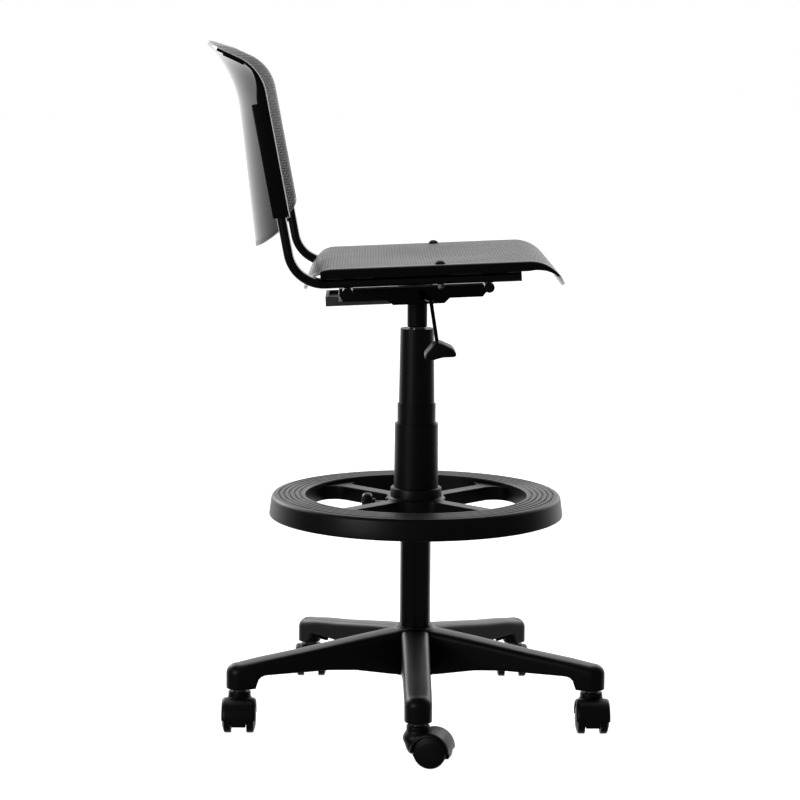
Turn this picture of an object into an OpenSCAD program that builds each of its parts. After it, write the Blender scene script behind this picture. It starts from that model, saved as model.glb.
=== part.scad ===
// Drafting chair: a five-star caster base, a gas lift in telescopic covers, a height-adjustable
// foot ring, and a moulded seat and backrest on a bent oval-tube frame.
// The chair faces -Y. The sitter's right is -X. The floor is z = 0.

/* [Casters] */
// Diameter of a caster wheel
wheel_d = 51; // [46:0.5:56]
// Width of one wheel, tread and dome together
wheel_w = 15; // [12:0.5:17]
// Horizontal offset from the stem's axis to the axle
caster_trail = 22.5; // [18:0.5:27]
// Thickness of the web between the two wheels
caster_web = 23; // [20:0.5:28]
// Diameter of the grip stem
stem_d = 11; // [9:0.5:12]

/* [Base] */
// Distance from the column's axis to each caster stem
stem_circle_r = 297; // [250:1:340]
// Width of a leg
leg_w = 44; // [38:1:50]
// Height of the socket at the end of a leg
socket_h = 38; // [34:1:44]
// Rise of the base's hub above the bottom of the caster sockets
hub_rise = 81; // [74:1:96]

/* [Column] */
// Outer diameter of the column tube
column_d = 50; // [46:0.5:54]
// Outer diameter of the gas cylinder that slides in the column
cylinder_d = 28; // [25:0.5:30]
// Length of the column tube
column_len = 394; // [360:1:430]

/* [Foot ring] */
// Outer radius of the ring's flat top
ring_r = 231; // [205:1:260]
// Width of the ring's flat top
ring_land = 51; // [42:1:60]
// Height of the ring's top above the floor
ring_z = 369; // [340:1:390]
// Overall depth of the ring
ring_depth = 35; // [28:1:40]
// Width of a spoke at its waist
spoke_w = 26; // [20:1:34]

/* [Covers] */
// Outer diameter of the lower telescopic cover
cover_d = 72; // [68:0.5:76]
// Visible length of the middle cover
middle_visible = 32; // [24:1:40]
// Visible length of the upper cover
upper_visible = 122; // [110:1:135]

/* [Seat] */
// Height of the sitting surface above the floor, at the seat bolts
seat_height = 760; // [720:1:920]
// Width of the seat
seat_w = 440; // [400:1:530]
// Flat length between the front and rear lips
seat_flat = 300; // [250:1:360]
// Thickness of the seat shell
seat_wall = 5; // [4:0.5:7]
// Upward slope of the seat to the front, in degrees
seat_slope = 2.6; // [0:0.1:5]
// Depth of the dish in the middle of the seat
seat_dish = 5; // [0:0.5:12]

/* [Frame] */
// Distance from the middle to the axis of each side tube
tube_x = 200; // [180:1:240]
// Width of the oval side tube
tube_w = 30; // [25:0.5:35]
// Thickness of the oval side tube
tube_t = 15; // [12:0.5:18]
// Bend radius of the side tube at its axis
bend_r = 55; // [45:1:70]
// Diameter of the two crossbars
crossbar_d = 16; // [14:0.5:20]

/* [Backrest] */
// Backward lean of the uprights, in degrees
back_lean = 10.8; // [6:0.1:16]
// Height of the sleeves' lower ends above the seat bolts
sleeve_rise = 70; // [60:1:90]
// Length of the sleeves
sleeve_len = 175; // [150:1:210]
// Thickness of the backrest shell
back_wall = 4.5; // [3.5:0.5:6]
// Depth of the hollow of the backrest, side to middle
back_hollow = 55.5; // [30:0.5:60]

/* [Mechanism] */
// Width of the mechanism's pressed plate
mech_w = 140; // [120:1:160]
// Thickness of the pressed steel
mech_wall = 3; // [2:0.5:4]

/* [Hidden] */
$fn = 72;

moulded_black = [0.09, 0.09, 0.095];
shell_black = [0.13, 0.13, 0.135];
paint_black = [0.05, 0.05, 0.055];
zinc = [0.72, 0.73, 0.74];
chrome = [0.82, 0.83, 0.85];
natural_pom = [0.85, 0.85, 0.82];

running = 0.05; // radial clearance of a running fit
slip = 0.3; // clearance between pieces that only pass each other
through = 1; // extra length of a cutting tool past a face

// Casters
wheel_r = wheel_d / 2;
wheel_gap = 0.8; // between a wheel and the web or the fender's inside
axle_d = 6;
fender_gap = 1.6;
fender_wall = 3.6;
fender_r = wheel_r + fender_gap + fender_wall;
caster_half_w = caster_web / 2 + wheel_gap + wheel_w;
collar_d = 36;
collar_top = wheel_r + fender_r + 6;
neck_d = 22;
caster_h = collar_top + 4.9; // floor to the bottom of the leg's socket
stem_len = 26;
leg_angles = [180, 252, 324, 36, 108];
caster_headings = [255, 180, 0, 0, 180]; // direction in which each caster trails

// Base
socket_d = leg_w - 2;
socket_top = caster_h + socket_h;
hub_top = caster_h + hub_rise;
hub_r = column_d / 2 + 9;
leg_wall = 4.5;
leg_crown = 9; // radius of the leg's rounded end, top to front
hub_floor = caster_h + 7;
hub_foot_h = 5;

// Column
column_wall = 1.8;
column_bottom = hub_floor;
column_top = column_bottom + column_len;
column_floor = 6;
rod_d = 10;
rod_clip_t = 2;
cylinder_wall = 2;
cylinder_bottom = column_bottom + 180;
bushing_len = 80;
bushing_flange = 3;
piston_len = 12;
bearing_d = 30;
bearing_h = 9;

// Widths of the telescopic covers; their walls are thinner where the column leaves less room
cover_wall = min(1.6, (cover_d - column_d) / 6 - slip);
cover_step = 2 * (cover_wall + slip); // from one cover's outside to the next one's
middle_d = max(cover_d - 10, column_d + 2 * cover_step);
upper_bottom_d = middle_d - cover_step;
upper_top_d = max(upper_bottom_d - 4.5, column_d + cover_step);

// Foot ring
ring_wall = 4;
ring_flare = 7.5; // how far the skirt spreads below the top
ring_inner_r = ring_r - ring_land;
web_top = ring_z - 7;
web_bottom = ring_z - ring_depth + 4;
collar_r = cover_d / 2 + 5.5;
ring_collar_top = ring_z + 11;
cover_seat_z = ring_z - 3;
hub_bore_r = column_d / 2 + slip;
ring_hub_r = hub_bore_r + 5;
ring_hub_bottom = ring_z - ring_depth - 4;
waist_fillet = 26;
groove_count = 5;
groove_w = 1.8;
groove_depth = 1;
knob_z = ring_z - 17;
knob_d = 35;
knob_t = 17;
knob_y = column_d / 2 + 46;
screw_d = 8;

// Seat
bolt_y = -30;
seat_mid_y = -15;
front_lip_r = 60;
front_lip_turn = 60;
front_lip_mid = 90;
front_lip_side = 52;
rear_lip_r = 45;
rear_lip_turn = 65;
rear_lip_mid = 75;
rear_lip_side = 19;
rear_lip_past_tube = 13; // from a side tube's axis to where the rear lip is shortest
skirt_r = 7;
skirt_drop = 8;

// Frame, measured down from the sitting surface
tube_drop = seat_wall + 11 + tube_t / 2;
tube_wall = 1.8;
tube_front = -121; // front end of a side tube, from the bolts
bar_gap = 0.1;
bar_drop = tube_drop + tube_t / 2 + bar_gap + crossbar_d / 2;
bar_wall = 1.5;
front_bar = -74;
rear_bar = 143;
plate_drop = bar_drop + crossbar_d / 2 + bar_gap;
bar_half = tube_x + 6;
seat_screw_d = 6;
mech_bolt_x = mech_w / 2 - 20;

// Side tube bend: the level run meets the upright at the corner
corner_y = 194 - bolt_y;
bend_turn = 90 - back_lean + seat_slope;
bend_tangent = bend_r * tan(bend_turn / 2);

// Backrest, in the seat frame's upright direction
sleeve_lining = 0.5; // wall of the sleeve behind the shell's own wall
shell_front = tube_t / 2 + back_wall + slip + sleeve_lining; // tube axis to the shell's front face
sleeve_back = tube_t / 2 + 4.2 + slip;
sleeve_half_w = tube_w / 2 + 4.5;
back_half_w = tube_x + sleeve_half_w;
back_straight = 192; // straight height of the side edges
back_roll_r = 72;
back_roll_turn = 55;
back_tail = 36;
mid_drop = 59; // how far the lower edge dips at the middle
mid_lean = 6.5;
mid_straight = 215;
mid_roll_r = 183;
mid_roll_turn = 35;
mid_tail = 13;
bow_half = tube_x - sleeve_half_w + 3;

// Corner of a side tube and foot of the backrest in the chair's upright frame: y rearwards, z up
corner_out = [bolt_y + corner_y * cos(seat_slope) - tube_drop * sin(seat_slope),
    seat_height - corner_y * sin(seat_slope) - tube_drop * cos(seat_slope)];
foot_z = seat_height + sleeve_rise;
foot_y = corner_out.x + (foot_z - corner_out.y) * tan(back_lean) - shell_front / cos(back_lean);
sleeve_end_wall = 6;
upright_len = (foot_z - corner_out.y) / cos(back_lean) + sleeve_len - sleeve_end_wall - 2 - bend_tangent;

// Mechanism
socket_bottom = seat_height - 119;
socket_outer_d = cylinder_d + 4;
socket_len = 49;
cylinder_top = socket_bottom + 47;
valve_d = 5;
valve_top = cylinder_top + 5.4;
lever_d = 6.2;
lever_z = valve_top + slip + lever_d / 2;
fulcrum_x = -30;
fulcrum_d = 4;
lever_boss_d = 11;
lever_boss_w = 7;
lever_elbow = [-97, -19, lever_z - 4];
lever_end = [-142, -29, lever_z - 70];
flange_depth_low = 27; // depth of the plate's sides at the socket
flange_depth_high = 19;
mech_front = -80;
mech_rear = 158;
socket_floor_drop = plate_drop + flange_depth_low - 5;

// Covers
upper_gap = 2.6; // from the upper cover to the mechanism's socket
upper_top = socket_bottom - upper_gap;
upper_shoulder = upper_top - upper_visible;
lower_top = upper_shoulder - middle_visible;
upper_overlap = 14;
middle_overlap = 73;

// Footprint of the chair about the column, and the shift that puts its middle at the origin
reach_far = stem_circle_r * cos(36) + caster_trail + fender_r;
reach_near = stem_circle_r + caster_trail * 0.26 + caster_half_w;
reach_front = stem_circle_r * sin(72) + caster_half_w;
reach_rear = 336;
column_x = (reach_near - reach_far) / 2;
column_y = (reach_front - reach_rear) / 2;

// ---- placing helpers

module at_column() { translate([column_x, column_y, 0]) children(); }

// The plane of the seat: x across, y towards the rear, z up from the sitting surface
module on_seat() {
    at_column() translate([0, bolt_y, seat_height]) rotate([-seat_slope, 0, 0]) children();
}

// x' runs to the rear, y' up, z' to the sitter's left
module side_on() { rotate([90, 0, 90]) children(); }

module at_caster(k) {
    at_column() rotate([0, 0, leg_angles[k]]) translate([stem_circle_r, 0, 0])
        rotate([0, 0, caster_headings[k] - leg_angles[k]]) children();
}

// ---- shapes used more than once

module pipe(outer_d, inner_d, h) {
    difference() {
        cylinder(d = outer_d, h = h);
        translate([0, 0, -through]) cylinder(d = inner_d, h = h + 2 * through);
    }
}

// Outline with straight long sides and round ends
function oval(w, t, steps = 6) = [
    for (s = [0 : steps]) let (a = -90 + 180 * s / steps)
        [(w - t) / 2 + t / 2 * cos(a), t / 2 * sin(a)],
    for (s = [0 : steps]) let (a = 90 + 180 * s / steps)
        [-(w - t) / 2 + t / 2 * cos(a), t / 2 * sin(a)]];

module oval_run(from, angle, len, w, t) {
    translate([from.x, from.y, 0]) rotate([0, 0, angle]) rotate([0, 90, 0])
        linear_extrude(len) polygon(oval(w, t));
}

// Closed sheet of even thickness on a surface given as a function of u and v
module sheet(skin_at, us, vs, wall) {
    e = 0.01;
    nu = len(us);
    nv = len(vs);
    skin = [for (v = vs, u = us) skin_at(u, v)];
    inner = [for (v = vs, u = us)
        let (n = cross(skin_at(u + e, v) - skin_at(u - e, v), skin_at(u, v + e) - skin_at(u, v - e)))
            skin_at(u, v) - wall * n / norm(n)];
    m = nu * nv;
    faces = [
        for (j = [0 : nv - 2], i = [0 : nu - 2]) let (a = j * nu + i, b = a + nu)
            each [[a, b, b + 1], [a, b + 1, a + 1], [m + a, m + b + 1, m + b], [m + a, m + a + 1, m + b + 1]],
        for (i = [0 : nu - 2]) let (a = i, b = (nv - 1) * nu + i)
            each [[a, a + 1, m + a + 1], [a, m + a + 1, m + a], [b, m + b + 1, b + 1], [b, m + b, m + b + 1]],
        for (j = [0 : nv - 2]) let (a = j * nu, b = a + nu, c = a + nu - 1, d = c + nu)
            each [[a, m + b, b], [a, m + a, m + b], [c, d, m + d], [c, m + d, m + c]]];
    polyhedron(points = concat(skin, inner), faces = faces);
}

function spread(lo, hi, n) = [for (i = [0 : n]) lo + (hi - lo) * i / n];
function turned_along(s, r) = r * sin(s / r * 180 / PI);
function turned_down(s, r) = r * (1 - cos(s / r * 180 / PI));

// ---- base and column

// Side profile of a leg: falls to the caster socket, with an arched underside
module leg_profile() {
    tip = stem_circle_r + socket_d / 2;
    leg_floor = hub_floor + 0.8;
    difference() {
        union() {
            polygon([[0, leg_floor], [0, hub_top - 0.5], [hub_r - 3, hub_top - 3],
                [tip - 2 * leg_crown, socket_top], [tip - leg_crown * 0.6, socket_top - leg_crown * 0.3],
                [tip, socket_top - leg_crown], [tip, leg_floor]]);
        }
        arch_x = stem_circle_r * 0.58;
        arch_r = 600;
        translate([arch_x, hub_floor + 16 - arch_r]) circle(r = arch_r, $fn = 240);
    }
}

module leg_outline(w, tip_d) {
    translate([0, -w / 2]) square([stem_circle_r, w]);
    translate([stem_circle_r, 0]) circle(d = tip_d);
}

module leg() {
    inside_from = hub_r + 6;
    inside_to = stem_circle_r - socket_d / 2 - 3;
    slope = (hub_top - 3 - socket_top) / (stem_circle_r - hub_r);
    difference() {
        intersection() {
            translate([0, leg_w / 2, 0]) rotate([90, 0, 0]) linear_extrude(leg_w) leg_profile();
            translate([0, 0, caster_h - 1]) linear_extrude(hub_rise + 2) leg_outline(leg_w - 3, socket_d - 1.2);
        }
        translate([0, leg_w / 2 - leg_wall, 0]) rotate([90, 0, 0]) linear_extrude(leg_w - 2 * leg_wall)
            polygon([[inside_from, caster_h], [inside_from, hub_top - 8 - slope * inside_from * 0.2],
                [inside_to, socket_top - leg_wall], [inside_to, caster_h]]);
    }
    for (r = [0.36, 0.54, 0.72] * stem_circle_r)
        translate([r, -leg_w / 2 + leg_wall - 1, hub_floor + 17]) cube([3, leg_w - 2 * leg_wall + 2, 12]);
    translate([stem_circle_r, 0, caster_h]) cylinder(d = socket_d, h = socket_h - leg_crown);
}

module base_star() {
    color(moulded_black) at_column() difference() {
        union() {
            for (a = leg_angles) rotate([0, 0, a]) leg();
            translate([0, 0, hub_floor]) cylinder(r = hub_r, h = hub_top - hub_floor);
            translate([0, 0, hub_floor]) cylinder(r = hub_r + 8, h = hub_foot_h);
            translate([0, 0, hub_top - 1]) cylinder(d = column_d + 5, h = 4);
        }
        translate([0, 0, hub_floor - through]) cylinder(d = column_d + 2 * running, h = hub_rise + 20);
        for (a = leg_angles) rotate([0, 0, a]) translate([stem_circle_r, 0, caster_h - through])
            cylinder(d = stem_d + 2 * running, h = stem_len + 2);
    }
}

module column_tube() {
    color(paint_black) at_column() translate([0, 0, column_bottom]) difference() {
        cylinder(d = column_d, h = column_len);
        translate([0, 0, column_floor]) cylinder(d = column_d - 2 * column_wall, h = column_len);
        translate([0, 0, -through]) cylinder(d = rod_d + 2 * running, h = column_floor + 2 * through);
    }
}

module guide_bushing() {
    color(natural_pom) at_column() translate([0, 0, column_top - bushing_len]) difference() {
        union() {
            cylinder(d = column_d - 2 * column_wall - 2 * running, h = bushing_len);
            translate([0, 0, bushing_len]) cylinder(d = column_d, h = bushing_flange);
        }
        translate([0, 0, -through])
            cylinder(d = cylinder_d + 2 * running, h = bushing_len + bushing_flange + 2 * through);
    }
}

module piston_rod() {
    rod_foot = column_bottom - 3;
    piston_z = cylinder_bottom + 55;
    color(chrome) at_column() difference() {
        union() {
            translate([0, 0, rod_foot]) cylinder(d = rod_d, h = piston_z - rod_foot);
            translate([0, 0, piston_z])
                cylinder(d = cylinder_d - 2 * cylinder_wall - 2 * running, h = piston_len);
            translate([0, 0, column_bottom + column_floor + bearing_h]) cylinder(d = 20, h = 4);
        }
        translate([0, 0, column_bottom - 0.2 - rod_clip_t]) pipe(rod_d + 2, rod_d - 2, rod_clip_t);
    }
}

module thrust_bearing() {
    race = 3;
    ball_d = bearing_h - 2 * race - 0.1;
    ball_circle = 10;
    color(zinc) at_column() translate([0, 0, column_bottom + column_floor]) {
        pipe(bearing_d, rod_d + 2 * slip, race);
        translate([0, 0, bearing_h - race]) pipe(bearing_d, rod_d + 2 * slip, race);
        for (a = [0 : 30 : 330]) rotate([0, 0, a]) translate([ball_circle, 0, bearing_h / 2])
            sphere(d = ball_d, $fn = 24);
    }
}

module rod_clip() {
    color(zinc) at_column() translate([0, 0, column_bottom - 0.2 - rod_clip_t]) difference() {
        cylinder(d = rod_d + 10, h = rod_clip_t);
        translate([0, 0, -through]) cylinder(d = rod_d - 2 + 2 * running, h = rod_clip_t + 2 * through);
        translate([0, -(rod_d - 2) / 2, -through]) cube([rod_d, rod_d - 2, rod_clip_t + 2 * through]);
    }
}

// ---- casters, in a frame with the stem on z and the wheels trailing to +x

module fender_profile() {
    difference() {
        union() {
            translate([caster_trail, wheel_r]) circle(r = fender_r);
            translate([-collar_d / 2, wheel_r]) square([collar_d, fender_r + 6]);
        }
        translate([caster_trail, wheel_r]) circle(r = wheel_r + fender_gap);
        translate([-collar_d, -fender_r]) square([3 * fender_r + collar_d, wheel_r + fender_r]);
    }
}

module web_profile() {
    difference() {
        union() {
            translate([caster_trail, wheel_r]) circle(r = fender_r - 1);
            translate([-collar_d / 2 + 1, wheel_r]) square([collar_d, fender_r + 4]);
            translate([-collar_d / 2 + 1, wheel_r - 8]) square([collar_d, 12]);
        }
        translate([-collar_d, -fender_r]) square([3 * fender_r + collar_d, wheel_r - 10 + fender_r]);
    }
}

module caster_hood(k) {
    shoulder_w = 2 * caster_half_w - 2;
    color(moulded_black) at_caster(k) difference() {
        union() {
            intersection() {
                translate([0, shoulder_w / 2, 0]) rotate([90, 0, 0]) linear_extrude(shoulder_w) fender_profile();
                union() {
                    translate([0, -shoulder_w / 2, wheel_r]) cube([60, shoulder_w, 40]);
                    translate([0, 0, wheel_r - 1]) cylinder(d = 44, h = 42);
                }
            }
            translate([0, caster_web / 2, 0]) rotate([90, 0, 0]) linear_extrude(caster_web) web_profile();
            translate([0, 0, collar_top - 12]) cylinder(d = collar_d, h = 12);
        }
        translate([0, 0, collar_top - 20]) cylinder(d = stem_d, h = 21);
        translate([caster_trail, 0, wheel_r]) rotate([90, 0, 0])
            cylinder(d = axle_d + 2 * running, h = 80, center = true);
    }
}

module caster_stem(k) {
    color(zinc) at_caster(k) {
        translate([0, 0, collar_top - 20]) cylinder(d = stem_d, h = caster_h - collar_top + 20 + stem_len);
        translate([0, 0, collar_top]) cylinder(d = neck_d, h = caster_h - collar_top - slip);
    }
}

module caster_axle(k) {
    len = caster_web + 2 * wheel_w - 4;
    color(zinc) at_caster(k) translate([caster_trail, len / 2, wheel_r]) rotate([90, 0, 0])
        cylinder(d = axle_d, h = len);
}

// Half section of a wheel: y runs outwards along the axle
module wheel_section() {
    bore = axle_d / 2 + running;
    edge = 3;
    dome = 3;
    polygon([[bore, 0], [9, 0], [9, 6], [wheel_r - 5, 6], [wheel_r - 5, 0], [wheel_r - 0.8, 0], [wheel_r, 0.8],
        [wheel_r, wheel_w - dome - edge], [wheel_r - 0.9, wheel_w - dome - 0.9],
        [wheel_r - edge, wheel_w - dome], [wheel_r * 0.6, wheel_w - 0.8], [wheel_r * 0.3, wheel_w - 0.1],
        [bore, wheel_w], [0, wheel_w], [0, wheel_w - 1.2], [bore, wheel_w - 1.2]]);
}

module caster_wheel(k, side) {
    color(moulded_black) at_caster(k)
        translate([caster_trail, side * (caster_web / 2 + wheel_gap), wheel_r])
            rotate([-90 * side, 0, 0]) rotate_extrude() wheel_section();
}

// ---- foot ring and covers

module ring_section() {
    low = ring_z - ring_depth;
    spread_r = ring_r + ring_flare;
    polygon([[ring_inner_r, ring_z - 1], [ring_inner_r + 1, ring_z], [ring_r, ring_z],
        [ring_r + 3, ring_z - 4], [spread_r - 1.5, low + 8], [spread_r, low + 2], [spread_r - 3, low],
        [spread_r - 5, low + 1.5], [ring_r - 1.5, ring_z - ring_wall - 2], [ring_r - 4, ring_z - ring_wall],
        [ring_inner_r + ring_wall, ring_z - ring_wall], [ring_inner_r + ring_wall, web_bottom],
        [ring_inner_r, web_bottom]]);
}

// Right half of the outline of the opening between two spokes, centred on the x axis
function opening_half(outer, inner, half_spoke, fillet) =
    let (r1 = outer - fillet, t1 = 45 - asin((half_spoke + fillet) / r1),
         r2 = inner + fillet * 0.6, t2 = 45 - asin((half_spoke + fillet * 0.6) / r2))
    concat(
        [for (a = spread(0, t1, 6)) outer * [cos(a), sin(a)]],
        [for (a = spread(t1, 135, 6)) r1 * [cos(t1), sin(t1)] + fillet * [cos(a), sin(a)]],
        [for (a = spread(135, 180 + t2, 5)) r2 * [cos(t2), sin(t2)] + fillet * 0.6 * [cos(a), sin(a)]],
        [for (a = spread(t2, 0, 3)) inner * [cos(a), sin(a)]]);

module ring_opening(grow) {
    half = opening_half(ring_inner_r + 3 + grow, collar_r + 6 - grow, spoke_w / 2 - grow, waist_fillet + grow);
    count = len(half);
    polygon(concat([for (p = half) p], [for (i = [count - 2 : -1 : 1]) [half[i].x, -half[i].y]]));
}

module ring_web(grow, r, z0, z1) {
    translate([0, 0, z0]) linear_extrude(z1 - z0) difference() {
        circle(r = r);
        for (a = [0 : 90 : 270]) rotate(a) ring_opening(grow);
    }
}

module foot_ring() {
    color(moulded_black) at_column() difference() {
        union() {
            rotate_extrude($fn = 120) ring_section();
            difference() {
                ring_web(0, ring_inner_r + 2, web_bottom + 0.5, web_top);
                ring_web(ring_wall, ring_inner_r + 1, web_bottom - through, web_top - ring_wall);
            }
            translate([0, 0, ring_hub_bottom]) cylinder(r = ring_hub_r, h = web_top - ring_hub_bottom);
            translate([0, 0, web_bottom + 1]) cylinder(r = collar_r + 4, h = web_top - web_bottom - 2);
            translate([0, 0, web_top - 4]) cylinder(r = collar_r, h = ring_collar_top - web_top + 4);
            translate([0, 0, knob_z]) rotate([-90, 0, 0]) cylinder(d = screw_d + 10, h = collar_r + 8);
        }
        translate([0, 0, ring_hub_bottom - through]) cylinder(r = hub_bore_r, h = 80);
        translate([0, 0, cover_seat_z]) cylinder(d = cover_d + 2 * slip, h = 30);
        translate([0, 0, knob_z]) rotate([-90, 0, 0]) cylinder(d = screw_d + 2 * running, h = collar_r + 20);
        for (i = [1 : groove_count]) {
            groove_r = ring_inner_r + i * ring_land / (groove_count + 1);
            translate([0, 0, ring_z - groove_depth])
                pipe(2 * groove_r + groove_w, 2 * groove_r - groove_w, groove_depth + through);
        }
    }
}

module clamp_knob() {
    chamfer = 3;
    color(moulded_black) at_column() translate([0, knob_y, knob_z]) rotate([-90, 0, 0]) difference() {
        union() {
            cylinder(d1 = knob_d - 2 * chamfer, d2 = knob_d, h = chamfer);
            translate([0, 0, chamfer]) cylinder(d = knob_d, h = knob_t - 2 * chamfer);
            translate([0, 0, knob_t - chamfer]) cylinder(d1 = knob_d, d2 = knob_d - 2 * chamfer, h = chamfer);
            translate([0, 0, -5]) cylinder(d = screw_d + 8, h = 6);
        }
        translate([0, 0, -6]) cylinder(d = screw_d, h = 6 + knob_t * 0.7);
        for (a = [0 : 60 : 300]) rotate([0, 0, a]) translate([knob_d / 2 + 4, 0, -through])
            cylinder(d = 12, h = knob_t + 2 * through);
    }
}

module clamp_screw() {
    tip = column_d / 2 + slip;
    color(zinc) at_column() translate([0, tip, knob_z]) rotate([-90, 0, 0])
        cylinder(d = screw_d, h = knob_y + knob_t * 0.7 - tip);
}

// Tapered tube with an inward lip at its top
module cover(bottom_d, top_d, z0, z1, lip_d) {
    h = z1 - z0;
    translate([0, 0, z0]) difference() {
        cylinder(d1 = bottom_d, d2 = top_d, h = h);
        translate([0, 0, -0.01])
            cylinder(d1 = bottom_d - 2 * cover_wall, d2 = top_d - 2 * cover_wall, h = h - cover_wall);
        cylinder(d = lip_d, h = h + through);
    }
}

module lower_cover() {
    color(moulded_black) at_column()
        cover(cover_d, cover_d - 2, cover_seat_z, lower_top, middle_d + 2 * slip);
}

module middle_cover() {
    color(moulded_black) at_column()
        cover(middle_d, middle_d, lower_top - middle_overlap, upper_shoulder, upper_bottom_d + 2 * slip);
}

module upper_cover() {
    color(moulded_black) at_column()
        cover(upper_bottom_d, upper_top_d, upper_shoulder - upper_overlap, upper_top, cylinder_d + 2 * slip);
}

// ---- gas cylinder and mechanism

module gas_cylinder() {
    taper = 1;
    color(chrome) at_column() difference() {
        union() {
            translate([0, 0, cylinder_bottom]) cylinder(d = cylinder_d, h = socket_bottom - cylinder_bottom);
            translate([0, 0, socket_bottom])
                cylinder(d1 = cylinder_d, d2 = cylinder_d - 2 * taper, h = cylinder_top - socket_bottom);
        }
        translate([0, 0, cylinder_bottom + 5])
            cylinder(d = cylinder_d - 2 * cylinder_wall, h = socket_bottom - cylinder_bottom - 25);
        translate([0, 0, cylinder_bottom - through]) cylinder(d = rod_d + 2 * running, h = 10);
        translate([0, 0, cylinder_top - 14]) cylinder(d = valve_d + 2 * running, h = 20);
    }
}

module valve_pin() {
    color(zinc) at_column() translate([0, 0, cylinder_top - 8]) cylinder(d = valve_d, h = valve_top - cylinder_top + 8);
}

// Side of the pressed plate: shallow at both ends, deeper round the socket
module plate_side() {
    deep = flange_depth_low;
    shallow = flange_depth_high;
    polygon([[mech_front, 0], [mech_front, -6], [mech_front + 11, -shallow], [-17, -shallow], [-8, -deep],
        [73, -deep], [83, -shallow], [mech_rear - 6, -shallow], [mech_rear, -8], [mech_rear, 0]]);
}

module mechanism_plate() {
    color(paint_black) difference() {
        on_seat() translate([0, 0, -plate_drop]) difference() {
            union() {
                translate([-mech_w / 2, mech_front, -mech_wall])
                    cube([mech_w, mech_rear - mech_front, mech_wall]);
                for (x = [-mech_w / 2, mech_w / 2 - mech_wall])
                    translate([x, 0, 0]) side_on() linear_extrude(mech_wall) plate_side();
            }
            for (x = [-mech_bolt_x, mech_bolt_x], y = [front_bar, rear_bar])
                translate([x, y, -20]) cylinder(d = seat_screw_d + 2 * running, h = 40);
        }
        at_column() translate([-mech_w / 2 - 2, -12, lever_z - 6]) cube([mech_wall + 4, 12, 16]);
    }
}

module mechanism_socket() {
    ear = 3;
    slot_w = lever_boss_w + 1.8 * slip;
    color(paint_black) difference() {
        union() {
            at_column() translate([0, 0, socket_bottom]) {
                cylinder(d1 = socket_outer_d - 2, d2 = socket_outer_d, h = 2);
                translate([0, 0, 2]) cylinder(d = socket_outer_d, h = socket_len - 2);
            }
            on_seat() translate([-mech_w / 2 + mech_wall, -8, -socket_floor_drop])
                cube([mech_w - 2 * mech_wall, 78, mech_wall]);
            for (y = [-lever_boss_w / 2 - ear - slip, lever_boss_w / 2 + slip])
                at_column() translate([fulcrum_x - 6, y, lever_z - 16]) cube([12, ear, 21]);
        }
        at_column() translate([0, 0, socket_bottom - through])
            cylinder(d = cylinder_d + 2 * running, h = 1 + through);
        at_column() translate([0, 0, socket_bottom])
            cylinder(d1 = cylinder_d + 2 * running, d2 = cylinder_d - 2 * 1.04 + 2 * running, h = socket_len + through);
        at_column() translate([fulcrum_x, 0, lever_z]) rotate([90, 0, 0])
            cylinder(d = fulcrum_d, h = 40, center = true);
        at_column() translate([0, 0, cylinder_top - 2]) cylinder(d = valve_d + 4, h = 12);
        at_column() translate([fulcrum_x - 8, -slot_w / 2, lever_z - 6.5]) cube([8 - fulcrum_x + 6, slot_w, 14]);
    }
}

module rear_bracket() {
    w = mech_w - 2 * mech_wall - 20;
    t = 7;
    color(zinc) on_seat() translate([-w / 2, 77, -plate_drop - flange_depth_high - t - 0.2]) difference() {
        union() {
            cube([w, 88, t]);
            translate([0, 83, 0]) cube([w, 20, t + 8]);
            for (x = [2, w - 14]) translate([x, 8, t]) cube([12, 46, flange_depth_high + 0.2 - mech_wall]);
        }
        translate([3, 3, -through]) cube([w - 6, 94, t - 3 + through]);
        translate([3, 80, t + 3]) cube([w - 6, 18, 20]);
    }
}

module mechanism_bolts() {
    color(zinc) on_seat() for (x = [-mech_bolt_x, mech_bolt_x], y = [front_bar, rear_bar]) {
        translate([x, y, -plate_drop - mech_wall - 4]) cylinder(d = 11, h = 4);
        translate([x, y, -plate_drop - mech_wall - 1])
            cylinder(d = seat_screw_d, h = mech_wall + crossbar_d + 3);
        translate([x, y, -plate_drop + crossbar_d + 2 * bar_gap]) cylinder(d = 11, h = 5, $fn = 6);
    }
}

// Rounded bend of the lever rod at p, its poles inside the two straight lengths
module rod_bend(before, p, after) {
    v = (before - p) / norm(before - p) - (after - p) / norm(after - p);
    translate(p) rotate([0, acos(v.z / norm(v)), atan2(v.y, v.x)]) sphere(d = lever_d * 1.24);
}

module rod_between(a, b, d) {
    v = b - a;
    short = lever_d * 0.31;
    translate(a) rotate([0, acos(v.z / norm(v)), atan2(v.y, v.x)]) translate([0, 0, short])
        cylinder(d = d, h = norm(v) - 2 * short);
}

module lever_rod() {
    inner_end = [4, 0, lever_z];
    knee = [-58, 0, lever_z];
    color(paint_black) at_column() difference() {
        union() {
            rod_between(inner_end, knee, lever_d);
            rod_between(knee, lever_elbow, lever_d);
            rod_between(lever_elbow, lever_end, lever_d);
            rod_bend(inner_end, knee, lever_elbow);
            rod_bend(knee, lever_elbow, lever_end);
            translate([fulcrum_x, lever_boss_w / 2, lever_z]) rotate([90, 0, 0])
                cylinder(d = lever_boss_d, h = lever_boss_w);
        }
        translate([fulcrum_x, 0, lever_z]) rotate([90, 0, 0])
            cylinder(d = fulcrum_d + 2 * running, h = 20, center = true);
    }
}

module lever_pivot_pin() {
    len = lever_boss_w + 8;
    color(zinc) at_column() translate([fulcrum_x, len / 2, lever_z]) rotate([90, 0, 0])
        cylinder(d = fulcrum_d, h = len);
}

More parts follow.
